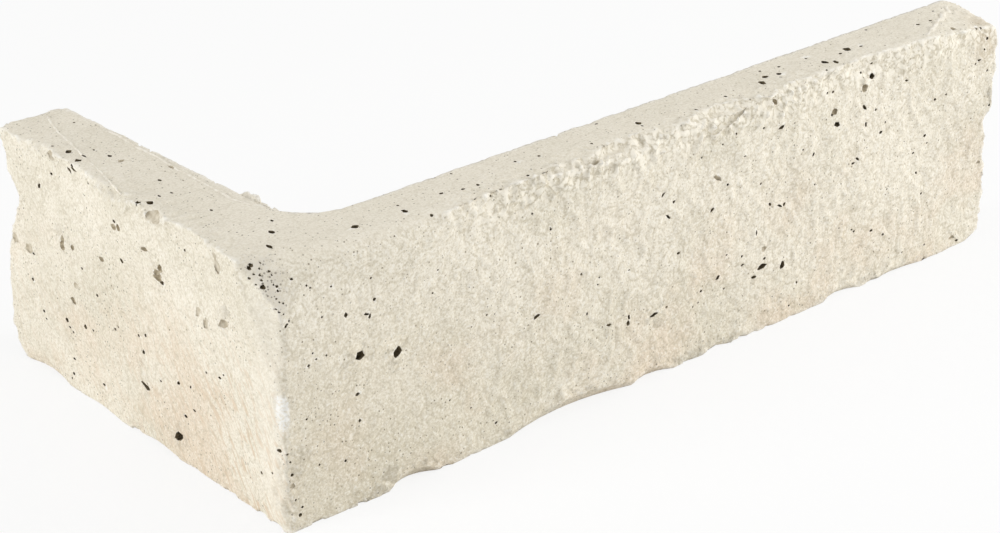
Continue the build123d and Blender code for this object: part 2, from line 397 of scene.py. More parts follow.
# grit too fine for the mesh, drawn a little coarse so that it shows
flakeHeight = addNode(tree, "Math", {0: flakes.outputs[0], 1: roughShare.outputs[0]},
                      operation="MULTIPLY")
gritHeight = addNode(tree, "Math", {0: grit.outputs[0], 1: roughShare.outputs[0]}, operation="MULTIPLY")
gritHeight = addNode(tree, "Math", {0: gritHeight.outputs[0], 1: crumbGap.outputs[0]},
                     operation="SUBTRACT")
bump = addNode(tree, "Bump", {"Height": flakeHeight.outputs[0]},
               {"Strength": 1.0, "Distance": look["flakeHeight"] * mm}, invert=True)
bump = addNode(tree, "Bump", {"Height": gritHeight.outputs[0], "Normal": bump.outputs[0]},
               {"Strength": 1.0, "Distance": look["gritHeight"] * mm})
shader = addNode(tree, "BsdfPrincipled", {"Base Color": colour.outputs[2], "Normal": bump.outputs[0]},
                 {"Roughness": look["roughness"], "Specular IOR Level": look["specular"],
                  "IOR": look["ior"]})
addNode(tree, "OutputMaterial", {"Surface": shader.outputs[0]})

# the skin of an air bubble: the same cement with dust settled in it and shade painted in, darker the
# deeper the kind: dark umber in the deep ones, brown in the open ones and only a film in the shallow
# scars; and the bare, pale flash
skinAndPoreShadeLook = {
    # darkest and lightest colour
    "skins": {
        "deepPoreDustAndShade": ("443B2E", "7C7058"), "openPoreDustAndShade": ("9C8F77", "CBC0A9"),
        "scarDustAndShade": ("C2B7A1", "DDD5C4"), "rubbedFlash": ("E4DCCB", "F6F1E5"),
    },
    "patchSize": 1.1, "roughness": 0.95, "specular": 0.15,
}
finishes = {"castWhiteCement": castCement}  # in the order of the casting's material slots
for name, (dark, light) in skinAndPoreShadeLook["skins"].items():
    material, tree = newMaterial(name)
    spot = addNode(tree, "TexCoord").outputs["Object"]
    patches = addNode(tree, "TexNoise", {"Vector": spot},
                      {"Scale": perSize(skinAndPoreShadeLook["patchSize"]), "Detail": 3.0})
    patchShare = addNode(tree, "MapRange", {0: patches.outputs[0]}, {1: 0.35, 2: 0.65})
    colour = addNode(tree, "Mix", {0: patchShare.outputs[0]}, {6: linear(dark), 7: linear(light)},
                     data_type="RGBA")
    shader = addNode(tree, "BsdfPrincipled", {"Base Color": colour.outputs[2]},
                     {"Roughness": skinAndPoreShadeLook["roughness"], "Specular IOR Level": skinAndPoreShadeLook["specular"]})
    addNode(tree, "OutputMaterial", {"Surface": shader.outputs[0]})
    finishes[name] = material
print("materials made")


# the casting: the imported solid, with lumps added and chips taken off before it is remeshed

casting = {
    "node": "veneer_corner",
    "voxel": 0.6,  # fine enough for the crumbly edges
    "triangles": 164000,  # kept after thinning, nearly all of them on the rough faces
    "smoothAngle": 60,
    "seed": 41,
    # place, sizes: flash that ran over the inside edge of the short arm
    "lumps": [
        ((0.6, 19.5, 60.5), (6.5, 15.0, 12.0)), ((0.4, 10.5, 61.5), (4.5, 10.0, 9.0)),
        ((1.6, 24.5, 63.2), (5.0, 4.5, 5.0)),
    ],
    # chips along the short arm's top edge and at its end
    "shortChips": [
        ((-19.6, 76.4, 66.4), (3.0, 4.2, 2.6)), ((-19.4, 66.5, 66.5), (2.4, 6.0, 1.8)),
        ((-20.6, 50.0, 66.6), (2.6, 12.0, 2.0)), ((-21.6, 5.0, 66.8), (3.0, 7.0, 3.0)),
        ((0.4, 104.2, 66.6), (7.0, 5.0, 5.0)), ((-19.6, 104.0, 66.4), (6.0, 5.0, 4.0)),
    ],
}

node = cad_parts[casting["node"]]
block = bpy.data.objects.new("castCorner", node.data.copy())
bpy.context.scene.collection.objects.link(block)
makeActive(block)
bpy.ops.object.mode_set(mode="EDIT")
bpy.ops.mesh.select_all(action="SELECT")
bpy.ops.mesh.remove_doubles(threshold=0.001 * mm)
bpy.ops.object.mode_set(mode="OBJECT")
takeFinishes(block, "castWhiteCement")

chunks = [pebble(subdivisions=3, jitter=0.1, seed=seed) for seed in (3, 7, 12)]
xAxis, yAxis, zAxis = (1, 0, 0), (0, 1, 0), (0, 0, 1)
for place, sizes in casting["lumps"]:
    joinCutter(block, setOut(chunks, [placed(place, xAxis, yAxis, sizes)]), "UNION")
for place, sizes in casting["shortChips"]:
    chunks.append(chunks.pop(0))
    joinCutter(block, setOut(chunks, [placed(place, xAxis, yAxis, sizes)]), "DIFFERENCE")

# the solid's plain round pits are plugged, and cut again below as uneven pores
plugs = {
    # along the face, up it, width
    "pits": {
        "long": [
            (2.1, 37.6, 2.2), (12.7, 35.0, 2.6), (93.6, 17.8, 2.2), (158.8, 50.2, 2.0), (171.6, 60.1, 2.2),
        ],
        "short": [
            (2.6, 46.9, 2.6), (29.2, 6.6, 2.2), (31.3, 49.2, 3.4), (41.7, 15.8, 2.4), (75.5, 42.9, 2.8),
        ],
        "top": [(8.0, -10.4, 2.2), (170.8, -9.2, 2.6)],
    },
    "spread": 1.6, "thickness": 0.9, "sink": 0.4,  # for its width
}
smoothBall = pebble(subdivisions=3, jitter=0.0, seed=1)
skin = BVHTree.FromObject(block, bpy.context.evaluated_depsgraph_get())
plugged, plugPlaces = [], []
for name, spots in plugs["pits"].items():
    view = views[name]
    for along, up, width in spots:
        around = [(along + width, up), (along - width, up), (along, up + width), (along, up - width)]
        ring = [surfaceAt(skin, beside, above, view) for beside, above in around]
        middle = sum(ring, Vector()) / len(ring) / mm
        sizes = (plugs["spread"] * width, plugs["spread"] * width, plugs["thickness"] * width)
        plugged.append(middle)
        sunk = middle - Vector(view["out"]) * plugs["sink"] * width
        plugPlaces.append(placed(sunk, view["along"], view["up"], sizes))
joinCutter(block, setOut([smoothBall], plugPlaces), "UNION")

# long smooth slices that ease the upright edge and leave a light band beside the rubbed corner
# each is: middle of the cutting ball, the way across the edge, the way up it, sizes
edgeSlices = [
    ((-29.65, -19.0, 25.0), (-0.43, 0.903, 0.0), (0.0, 0.0, 1.0), (30.0, 240.0, 20.0)),
    ((-27.9, -18.6, 54.0), (-0.43, 0.903, 0.0), (0.0, 0.0, 1.0), (30.0, 60.0, 20.0)),
    ((-29.6, -13.9, 60.4), (-0.357, 0.753, -0.549), (0.0, 0.59, 0.81), (26.0, 34.0, 20.0)),
]
for middle, across, up, sizes in edgeSlices:
    joinCutter(block, setOut([smoothBall], [placed(middle, across, up, sizes)]), "DIFFERENCE")
bpy.data.objects.remove(smoothBall)

# small nicks along every outside edge: start, end, how many, and their size
edgeNicks = {
    "runs": [
        ((-18.0, -17.2, 0.0), (212.0, -17.2, 0.0), 60, 1.0),
        ((-20.0, -15.0, 0.0), (-19.0, 102.0, 0.0), 30, 1.0),
        ((-18.6, -17.3, 2.0), (-18.8, -17.3, 44.0), 9, 0.6),
        ((30.0, -17.4, 66.3), (190.0, -17.4, 66.3), 44, 0.7),
        ((-20.8, 0.0, 66.0), (-18.4, 100.0, 66.0), 60, 0.55),
        ((20.0, 0.0, 66.0), (214.0, 0.0, 66.0), 26, 0.45),
        ((0.0, 28.0, 66.0), (0.0, 100.0, 66.0), 14, 0.45),
        ((-17.0, 103.2, 66.0), (-1.0, 103.2, 66.0), 9, 0.9),
    ],
    "length": (1.2, 4.6), "depth": (0.7, 1.8), "wander": 0.5,
    "stagger": (0.1, 0.9),  # where in its share of the edge a nick falls
    "rounds": 3,  # neighbours are cut in separate rounds
}
dice = random.Random(casting["seed"])
nickPlaces = []
for start, end, count, scale in edgeNicks["runs"]:
    start, end = Vector(start), Vector(end)
    for number in range(count):
        share = (number + dice.uniform(*edgeNicks["stagger"])) / count
        stray = Vector([dice.uniform(-1, 1) * edgeNicks["wander"] for i in range(3)])
        centre = start.lerp(end, share) + stray
        length = dice.uniform(*edgeNicks["length"]) * scale
        depth = dice.uniform(*edgeNicks["depth"]) * scale
        way = (end - start).normalized()
        sizes = [depth + abs(way[i]) * (length - depth) for i in range(3)]
        nickPlaces.append(placed(centre, xAxis, yAxis, sizes))
for first in range(edgeNicks["rounds"]):
    joinCutter(block, setOut(chunks, nickPlaces[first::edgeNicks["rounds"]]), "DIFFERENCE")
for chunk in chunks:
    bpy.data.objects.remove(chunk)
print("casting chipped:", len(block.data.polygons), "faces")

makeActive(block)
block.data.remesh_voxel_size = casting["voxel"] * mm
bpy.ops.object.voxel_remesh()
print("casting remeshed:", len(block.data.polygons), "faces")

# the plugs are smoothed in, the upright edge is eased, and the rubbed corner
# and the top edge beside it are rounded up to the short face
smoothing = {
    "plugReach": 3.2, "plugPasses": 40,
    "edges": [
        ((-18.9, -16.6, 24.0), (-18.0, -16.4, 50.0)), ((-20.6, -12.6, 2.0), (-20.6, -11.0, 52.0)),
    ],
    "edgeStep": 2.0, "edgeReach": 2.6, "edgePasses": 24,
    "rubbed": [
        (-17, -10, 66), (-12, -11.5, 66), (-6, -14, 66), (0, -16, 66), (7, -17, 66), (15, -17, 66),
        (23, -17, 66), (-11, -17, 58), (-6, -17, 61), (-1, -17, 63.5),
    ],
    "rubbedReach": 5.5, "rubbedPasses": 120,
}


def smoothNear(places, reach, passes):
    points = np.empty(len(block.data.vertices) * 3)
    block.data.vertices.foreach_get("co", points)
    points = points.reshape(-1, 3) / mm
    near = np.zeros(len(points), bool)
    for place in places:
        near |= ((points - place) ** 2).sum(1) < reach ** 2
    makeActive(block)
    bpy.ops.object.mode_set(mode="EDIT")
    bpy.ops.mesh.select_mode(type="VERT")
    bpy.ops.mesh.select_all(action="DESELECT")
    bpy.ops.object.mode_set(mode="OBJECT")
    block.data.vertices.foreach_set("select", near)
    bpy.ops.object.mode_set(mode="EDIT")
    bpy.ops.mesh.vertices_smooth(factor=0.5, repeat=passes)
    bpy.ops.object.mode_set(mode="OBJECT")
    return int(near.sum())


smoothed = smoothNear(plugged, smoothing["plugReach"], smoothing["plugPasses"])
for start, end in smoothing["edges"]:
    start, end = Vector(start), Vector(end)
    steps = round((end - start).length / smoothing["edgeStep"])
    route = [start.lerp(end, step / steps) for step in range(steps + 1)]
    smoothed += smoothNear(route, smoothing["edgeReach"], smoothing["edgePasses"])
smoothed += smoothNear(smoothing["rubbed"], smoothing["rubbedReach"], smoothing["rubbedPasses"])
print("smoothed:", smoothed, "vertices")


# relief: which part of the surface each vertex lies on, then displacement by part

def eased(values, start, end):
    # from 0 at the start to 1 at the end; places are in millimetres, and normals from -1 to 1
    share = np.clip((values - start) / (end - start), 0, 1)
    return share * share * (3 - 2 * share)


count = len(block.data.vertices)
points, normals = np.empty(count * 3), np.empty(count * 3)
block.data.vertices.foreach_get("co", points)
block.data.vertices.foreach_get("normal", normals)
x, y, z = points.reshape(-1, 3).T / mm
toX, toY, toZ = normals.reshape(-1, 3).T
outLong = eased(-toY, 0.35, 0.8)
outShort = eased(-toX, 0.35, 0.8) * eased(x, 40, 10)
upward = eased(toZ, 0.4, 0.85)
inward = np.maximum(eased(toY, 0.4, 0.8) * eased(x, -3, 2), eased(toX, 0.4, 0.8) * eased(y, -3, 2))
inward = inward * eased(x, 214, 208) * eased(y, 100, 95)
broken = np.maximum(eased(toX, 0.3, 0.7) * eased(x, 205, 211), eased(toY, 0.3, 0.7) * eased(y, 92, 97))
broken = np.maximum(broken, eased(x, 188, 196) * eased(z, 58, 62) * eased(-toY, 0.1, 0.3))
topEdge = eased(x, 20, 42) * (1 - 0.5 * eased(x, 132, 160)) * eased(x, 200, 190)
topEdge = topEdge * eased(z, 55, 61) * eased(y, -9, -14)
shortTop = eased(z, 60.5, 63.5) * eased(x, -12.5, -16) * eased(y, -6, 2)
longBackEdge = eased(y, -1.8, -0.5) * eased(x, 16, 22) * eased(x, 214, 208)
shortBackEdge = eased(x, -1.8, -0.5) * eased(y, 30, 36) * eased(y, 100, 96)
backEdge = np.maximum(longBackEdge, shortBackEdge) * eased(z, 63, 65.2)
foot = eased(x, -14.5, -17) * eased(y, -12.5, -15) * eased(z, 27, 20)
clearOfBed = eased(z, 0.0, 1.5) * eased(toZ, -0.9, -0.5)  # the bed stays flat
plain = 1 - outLong - outShort - topEdge - shortTop - backEdge - broken - 0.6 * eased(toZ, 0.5, 0.9)
parts = {
    "longFace": outLong * (0.35 + 0.65 * eased(x, -5, 60)) * clearOfBed,
    "shortFace": outShort * (0.6 + 0.4 * eased(y, -4, 14)) * clearOfBed,
    "raggedEdge": topEdge * clearOfBed,
    "shortEdge": shortTop,
    "backEdge": backEdge,
    "foot": foot * clearOfBed,
    "top": upward * (1 - topEdge),
    "backs": inward * clearOfBed,
    "ends": broken * clearOfBed,
    "thinned": np.clip(plain, 0.05, 1),
}
weightSteps = 20
for part, weights in parts.items():
    group = block.vertex_groups.new(name=part)
    levels = np.round(weights * weightSteps).astype(int)
    for level in range(1, weightSteps + 1):
        group.add(np.where(levels == level)[0].tolist(), level / weightSteps, "REPLACE")

# ridged gives thin crooked ridges, and flaked gives plates with creases between
soft = {"noise_basis": "IMPROVED_PERLIN", "noise_depth": 2}
fractal = {"noise_basis": "IMPROVED_PERLIN", "noise_depth": 4}
ridged = {"musgrave_type": "RIDGED_MULTIFRACTAL", "octaves": 3.0, "noise_intensity": 0.6}
flaked = {"weight_1": -1.0, "weight_2": 1.0, "noise_intensity": 1.0}
# part, texture kind, size of its pattern, height, and the texture's own settings
relief = [
    ("longFace", "CLOUDS", 10.0, 1.1, fractal),
    ("longFace", "MUSGRAVE", 6.0, 0.7, ridged),
    ("longFace", "VORONOI", 3.2, 0.45, flaked),
    ("longFace", "CLOUDS", 2.0, 0.5, fractal),
    ("shortFace", "CLOUDS", 12.0, 0.8, fractal),
    ("shortFace", "MUSGRAVE", 7.0, 0.4, ridged),
    ("shortFace", "CLOUDS", 2.4, 0.4, fractal),
    ("raggedEdge", "CLOUDS", 9.0, 1.3, fractal),
    ("raggedEdge", "MUSGRAVE", 3.2, 1.0, ridged),
    ("raggedEdge", "VORONOI", 3.0, 0.4, flaked),
    ("raggedEdge", "CLOUDS", 1.7, 0.9, fractal),
    ("shortEdge", "MUSGRAVE", 4.0, 0.7, ridged),
    ("shortEdge", "CLOUDS", 2.2, 0.6, fractal),
    ("top", "CLOUDS", 16.0, 0.35, soft),
    ("top", "CLOUDS", 4.0, 0.16, fractal),
    ("foot", "MUSGRAVE", 4.0, 0.6, ridged),
    ("foot", "CLOUDS", 2.0, 0.6, fractal),
    ("backEdge", "CLOUDS", 6.0, 0.9, fractal),
    ("backEdge", "CLOUDS", 2.0, 0.5, fractal),
    ("backs", "CLOUDS", 14.0, 0.6, soft),
    ("ends", "CLOUDS", 7.0, 1.8, fractal),
    ("ends", "MUSGRAVE", 4.0, 0.8, ridged),
    ("ends", "CLOUDS", 2.2, 0.8, fractal),
]
for part, kind, size, height, settings in relief:
    texture = bpy.data.textures.new(part + kind, kind)
    texture.noise_scale = size * mm
    for setting, value in settings.items():
        setattr(texture, setting, value)
    finishWith(block, "DISPLACE", texture=texture, texture_coords="LOCAL", direction="NORMAL",
               strength=height * mm, mid_level=0.5, vertex_group=part)
    bpy.data.textures.remove(texture)
print("relief raised in", len(relief), "layers")

block.data.calc_loop_triangles()
thinning = casting["triangles"] / len(block.data.loop_triangles)
finishWith(block, "DECIMATE", ratio=thinning, vertex_group="thinned")
block.data.calc_loop_triangles()
print("casting thinned:", len(block.data.loop_triangles), "triangles")


# flash: thin raised lines that the mould's joint left on the tops

flashing = {
    # each is: width, how deep its middle lies, how far it wanders, and its route
    "lines": {
        "shortTop": (0.65, 0.05, 0.08, [
            (-6.9, 99.6), (-8.2, 95.8), (-10.1, 89.6), (-11.3, 84.0), (-13.3, 74.3), (-15.0, 66.6),
            (-16.3, 59.6), (-18.0, 52.1), (-19.2, 45.0),
        ]),
        "backLip": (0.65, 0.05, 0.15, [
            (-1.2, 80.4), (-0.9, 75.7), (-1.7, 65.8), (-1.3, 57.8), (-2.2, 50.0), (-2.4, 47.8),
            (-2.4, 37.8), (-3.1, 23.5), (-2.0, 17.0),
        ]),
        "breakRidge": (1.5, 0.4, 0.4, [
            (216.4, -3.5), (215.0, -5.5), (210.1, -7.5), (207.4, -9.6), (205.0, -10.6), (200.9, -12.8),
            (196.6, -14.8), (194.0, -15.8),
        ]),
    },
    "step": 1.6,  # length of a step along the route
    "swell": (0.6, 1.3),  # how the width varies
}


def unevenRoute(route, wander):
    # the route again in short steps that stray a little to each side
    spots = []
    for start, end in zip(route, route[1:]):
        start, end = Vector(start), Vector(end)
        steps = max(1, round((end - start).length / flashing["step"]))
        spots += [start.lerp(end, step / steps) for step in range(steps)]
    spots.append(Vector(route[-1]))
    return [spot + Vector([dice.uniform(-wander, wander) for i in range(2)]) for spot in spots]


skin = BVHTree.FromObject(block, bpy.context.evaluated_depsgraph_get())
for name, (width, depth, wander, route) in flashing["lines"].items():
    curve = bpy.data.curves.new(name, "CURVE")
    curve.dimensions = "3D"
    curve.bevel_depth = width / 2 * mm
    curve.bevel_resolution = 1
    curve.use_fill_caps = True
    line = curve.splines.new("POLY")
    spots = unevenRoute(route, wander)
    line.points.add(len(spots) - 1)
    for point, (along, up) in zip(line.points, spots):
        onTop = surfaceAt(skin, along, up, views["top"]) - Vector(zAxis) * depth * mm
        point.co = (*onTop, 1)
        point.radius = dice.uniform(*flashing["swell"])
    flash = bpy.data.objects.new(name, curve)
    bpy.context.scene.collection.objects.link(flash)
    makeActive(flash)
    bpy.ops.object.convert(target="MESH")
    flash = bpy.context.active_object
    bpy.ops.object.mode_set(mode="EDIT")
    bpy.ops.mesh.select_all(action="SELECT")
    bpy.ops.mesh.remove_doubles(threshold=0.001 * mm)
    bpy.ops.mesh.normals_make_consistent(inside=False)
    bpy.ops.object.mode_set(mode="OBJECT")
    takeFinishes(flash, "rubbedFlash")
    joinCutter(block, flash, "UNION")
print("flash joined:", len(block.data.polygons), "faces")


# pores: air bubbles that the rough mould left open, read from the faces one by one
# each is: along the face, up it, width, height, turn in degrees, and how deep for its width

pores = {
    "long": [
        (2.4, 37.8, 2.3, 2.1, 0, 0.9), (13.4, 34.9, 2.2, 2.6, -30, 0.7), (0.9, 28.6, 1.1, 0.8, 0, 1),
        (1.1, 21.6, 0.7, 0.7, 0, 1), (-0.7, 49.1, 1.1, 1.1, 0, 1.1), (5.0, 47.4, 1.4, 0.55, -20, 1),
        (5.9, 46.6, 0.6, 1.3, -10, 1), (7.4, 50.4, 0.8, 0.7, 0, 1), (6.8, 55.9, 0.5, 0.5, 0, 1),
        (-3.9, 57.1, 0.5, 0.4, 0, 1), (-10.0, 59.1, 0.5, 0.5, 0, 1), (-7.0, 50.6, 0.5, 0.5, 0, 1),
        (-10.6, 43.1, 0.5, 0.4, 0, 1), (-12.1, 40.6, 0.7, 0.6, 0, 1), (-9.9, 41.4, 0.5, 0.4, 0, 1),
        (-7.1, 41.4, 0.5, 0.5, 0, 1), (-13.7, 27.6, 0.6, 0.5, 0, 1), (-3.5, 12.8, 0.6, 0.6, 0, 1),
        (-10.8, 14.6, 0.5, 0.5, 0, 1), (42.9, 64.8, 0.7, 0.5, 0, 1), (54.8, 56.9, 0.7, 0.5, 0, 1),
        (54.6, 30.2, 2.0, 0.8, 15, 1.2), (41.9, 5.5, 0.9, 0.5, 20, 1), (39.6, 35.6, 0.5, 0.5, 0, 1),
        (24.0, 46.4, 0.5, 0.4, 0, 1), (25.5, 52.0, 0.5, 0.4, 0, 1), (27.4, 17.3, 0.5, 0.4, 0, 1),
        (34.1, 12.6, 0.5, 0.4, 0, 1), (60.1, 51.4, 0.6, 0.6, 0, 1), (69.8, 36.2, 0.6, 0.5, 0, 1),
        (71.1, 25.2, 0.6, 0.7, 0, 1), (75.0, 31.8, 0.5, 0.4, 0, 1), (75.6, 33.5, 0.5, 0.4, 0, 1),
        (85.5, 32.3, 0.6, 0.4, 0, 1), (84.3, 18.3, 1.0, 1.3, 0, 1), (84.9, 19.7, 0.8, 1.2, 20, 1),
        (93.2, 17.5, 3.2, 0.9, 3, 1.4), (98.7, 42.6, 2.0, 0.6, -45, 1.5),
        (100.7, 46.1, 0.9, 0.6, 20, 1.2), (97.0, 49.1, 1.4, 0.5, 40, 0.8), (102.1, 31.6, 0.9, 0.6, 0, 1),
        (107.6, 14.6, 0.5, 0.5, 0, 1), (109.6, 15.1, 0.5, 0.5, 0, 1), (110.4, 18.2, 0.8, 0.6, 0, 1),
        (110.7, 54.9, 0.5, 0.4, 0, 1), (113.3, 40.1, 1.4, 0.6, 45, 0.8), (116.1, 20.2, 1.8, 0.8, 25, 1),
        (117.6, 56.6, 0.5, 0.4, 0, 1), (119.0, 45.4, 0.6, 0.6, 0, 1), (119.0, 25.8, 0.7, 0.5, 0, 1),
        (119.0, 15.9, 0.5, 0.5, 0, 1), (122.1, 58.3, 0.6, 0.5, 0, 1), (124.7, 51.6, 0.8, 0.5, 0, 1),
        (124.7, 23.5, 0.7, 0.6, 0, 1), (124.9, 21.0, 1.0, 0.6, 15, 1), (128.8, 16.3, 1.5, 0.7, 0, 1),
        (129.7, 28.6, 0.8, 1.4, 0, 1.3), (131.4, 41.8, 0.6, 0.6, 0, 1), (131.6, 57.3, 0.6, 0.5, 0, 1),
        (131.8, 18.4, 3.0, 1.2, 10, 1.2), (132.8, 20.4, 1.0, 0.6, 0, 1), (135.0, 34.9, 1.0, 0.7, -40, 1),
        (137.8, 55.8, 2.2, 0.8, 20, 0.9), (138.6, 33.4, 1.6, 0.6, -30, 1),
        (140.4, 33.2, 1.2, 0.6, 30, 1), (139.1, 16.6, 1.6, 1.9, -40, 1.3), (142.4, 3.5, 0.6, 0.5, 0, 1),
        (144.8, 9.6, 0.6, 0.6, 0, 1), (146.2, 47.1, 0.6, 0.5, 0, 1), (150.2, 44.6, 1.1, 0.7, 40, 1),
        (151.0, 35.9, 0.5, 0.5, 0, 1), (156.0, 59.8, 1.0, 0.6, 0, 1), (158.4, 59.4, 1.0, 0.6, 0, 1),
        (157.5, 53.6, 1.0, 0.9, 0, 1), (159.2, 50.4, 1.9, 1.2, -15, 1.2), (165.6, 37.6, 1.2, 0.5, 0, 1),
        (167.1, 38.5, 1.3, 0.6, -45, 1), (165.9, 18.2, 0.6, 0.5, 0, 1), (166.9, 17.4, 0.8, 0.5, 0, 1),
        (169.2, 61.8, 0.8, 0.5, 0, 1), (170.2, 52.0, 1.8, 0.8, -50, 1), (173.1, 60.0, 1.6, 1.5, 0, 1.4),
        (173.1, 63.4, 0.9, 0.5, 0, 1), (174.5, 50.2, 0.9, 0.6, 0, 1), (173.5, 15.7, 1.1, 0.7, 0, 1),
        (176.5, 43.3, 1.2, 0.8, 0, 1), (178.1, 13.2, 0.7, 0.7, 0, 1), (178.3, 45.6, 0.6, 0.6, 0, 1),
        (179.3, 26.1, 0.6, 0.4, 0, 1), (186.0, 5.4, 0.6, 0.6, 0, 1), (186.1, 55.4, 1.0, 0.5, -20, 1),
        (190.6, 33.1, 0.8, 0.6, 0, 1), (192.0, 26.9, 0.9, 0.6, -40, 1), (193.7, 20.4, 0.8, 0.6, 0, 1),
        (194.9, 37.0, 1.1, 0.8, 0, 1), (195.0, 4.9, 0.6, 0.6, 0, 1), (196.3, 34.4, 0.5, 0.5, 0, 1),
        (198.1, 46.7, 0.8, 0.7, 0, 1), (202.3, 47.1, 0.7, 0.5, 0, 1), (209.5, 1.4, 0.9, 0.6, 0, 1),
        (215.6, 53.5, 0.9, 0.6, 0, 1), (220.0, 39.4, 0.7, 0.7, 0, 1), (214.6, 62.6, 0.7, 0.6, 0, 1),
        (216.2, 62.4, 0.6, 0.6, 0, 1), (218.6, 59.0, 0.9, 0.8, 0, 1), (214.4, 52.6, 0.6, 0.5, 0, 1),
        (219.2, 49.6, 0.7, 0.6, 0, 1), (217.4, 56.2, 0.6, 0.5, 0, 1),
    ],
    # seen on the long face: the rubbed corner, riddled with pits, and the foot of the upright edge
    "rubbed": [
        (-19.8, 64.0, 1.1, 0.9, 0, 1), (-19.2, 64.5, 1.2, 0.8, 30, 1), (-19.1, 60.5, 1.4, 1.1, 0, 0.9),
        (-16.3, 60.2, 0.7, 0.6, 0, 1), (-16.5, 59.4, 0.6, 0.6, 0, 1), (-16.9, 51.8, 0.6, 1.1, -35, 1),
        (-16.5, 52.1, 0.5, 0.7, 30, 1), (-17.2, 64.7, 0.5, 0.4, 0, 1), (-18.0, 63.8, 0.5, 0.5, 0, 1),
        (-16.4, 63.1, 0.7, 0.5, 0, 1), (-19.4, 62.8, 0.6, 0.4, 0, 1), (-18.5, 62.6, 0.6, 0.5, 0, 1),
        (-16.3, 62.4, 0.5, 0.4, 0, 1), (-18.7, 61.7, 0.7, 0.5, 0, 1), (-20.4, 62.0, 0.6, 0.6, 0, 1),
        (-16.8, 60.6, 0.5, 0.4, 0, 1), (-17.5, 58.0, 0.5, 0.4, 0, 1), (-17.2, 57.3, 0.5, 0.4, 0, 1),
        (-16.6, 57.0, 0.5, 0.4, 0, 1), (-18.4, 56.1, 0.5, 0.4, 0, 1), (-18.0, 55.4, 0.6, 0.4, 0, 1),
        (-17.1, 54.7, 0.5, 0.4, 0, 1), (-15.9, 52.7, 0.6, 0.7, 0, 1), (-12.8, 61.1, 0.8, 0.6, 0, 1),
        (-20.0, 61.0, 0.5, 0.4, 0, 1), (-9.2, 58.4, 0.5, 0.5, 0, 1), (-19.4, 20.6, 0.9, 0.5, 0, 1),
        (-18.9, 18.5, 0.7, 0.5, 0, 1), (-18.4, 14.8, 1.0, 0.8, 0, 1), (-17.9, 8.1, 0.7, 0.6, 0, 1),
        (-16.4, 5.8, 0.8, 0.7, 0, 1), (-17.1, 3.9, 1.2, 0.9, 0, 1),
    ],
    "short": [
        (47.4, 47.3, 1.8, 1.1, 0, 1.3), (42.8, 15.8, 3.0, 1.0, 8, 1.2), (41.4, 15.6, 3.0, 1.2, -8, 1.2),
        (29.3, 6.8, 3.2, 2.0, -40, 1.1), (29.0, 52.2, 1.4, 0.7, 0, 0.9), (28.9, 47.9, 1.8, 0.8, 0, 0.9),
        (47.2, 58.0, 1.1, 0.8, 0, 0.8), (86.5, 54.5, 0.9, 1.4, 30, 1), (79.4, 59.9, 0.9, 0.6, 0, 1),
        (68.4, 65.4, 1.0, 0.8, 0, 1), (67.8, 64.6, 2.2, 0.6, 10, 1), (69.6, 63.6, 2.2, 0.5, 25, 1),
        (60.4, 63.4, 1.6, 0.6, -45, 1), (61.7, 33.1, 0.9, 0.7, 0, 1), (67.1, 38.7, 0.8, 0.6, 0, 1),
        (71.0, 21.0, 1.3, 1.1, 0, 0.9), (79.8, 19.7, 1.2, 1.0, 30, 1), (79.1, 17.9, 0.9, 0.6, 0, 1),
        (78.0, 16.8, 0.7, 0.6, 0, 1), (79.1, 8.9, 0.9, 0.6, 0, 1), (80.2, 4.3, 1.0, 0.7, 0, 1),
        (81.2, 2.6, 0.6, 0.6, 0, 1), (64.9, 6.9, 1.1, 0.7, 0, 1), (94.6, 33.1, 0.9, 0.7, 0, 1),
        (55.0, 26.2, 0.9, 0.6, 0, 1), (53.4, 27.4, 0.5, 0.5, 0, 1), (42.0, 24.8, 1.3, 0.9, -30, 1.2),
        (43.7, 28.6, 0.9, 0.7, 0, 1), (40.1, 30.0, 0.9, 0.8, 0, 1), (65.9, 22.0, 0.8, 0.5, 0, 1),
        (6.7, 31.5, 1.0, 0.6, 0, 1), (11.9, 31.0, 0.6, 0.6, 0, 1), (4.9, 32.9, 0.6, 0.4, 0, 1),
        (26.6, 22.3, 1.0, 0.8, -30, 1), (21.2, 23.3, 0.9, 0.6, -40, 1), (20.6, 17.3, 1.1, 0.7, 0, 1.1),
        (25.5, 13.6, 1.1, 0.7, 0, 1.1), (34.5, 19.9, 0.7, 0.5, 0, 1), (17.9, 59.8, 0.6, 0.6, 0, 1),
        (-15.3, 21.2, 1.1, 0.8, 0, 1), (-17.6, 20.1, 0.8, 0.6, 0, 1), (-7.9, 12.6, 0.8, 0.7, 0, 1),
        (-12.7, 14.6, 0.8, 0.5, 0, 1), (91.8, 18.0, 1.0, 0.7, 0, 1), (90.8, 16.2, 0.7, 0.5, 0, 1),
        (96.6, 25.3, 1.0, 0.8, 0, 1),
    ],
    "top": [
        (-16.7, 68.6, 1.6, 1.6, 0, 1), (-15.0, 75.9, 1.7, 1.9, 0, 0.9), (-19.9, 36.6, 1.2, 1.7, 0, 1),
        (-14.0, 70.2, 0.7, 1.6, 0, 1), (-9.4, 66.0, 0.9, 1.5, 0, 1), (-9.1, 44.1, 0.7, 1.2, 0, 1),
        (-11.1, 35.8, 0.6, 1.1, 0, 1), (-14.4, 36.0, 0.6, 1.2, 0, 1), (-17.7, 34.9, 1.6, 2.0, 0, 1.1),
        (-10.2, 20.6, 0.6, 1.1, 0, 1), (-7.4, 0.6, 1.2, 1.8, 0, 1.2), (-12.3, -5.6, 1.2, 2.2, 0, 1.2),
        (-3.6, 5.7, 0.6, 1.0, 0, 1), (-10.2, 71.9, 0.5, 0.8, 0, 1), (-16.5, 80.9, 0.7, 0.7, 0, 1),
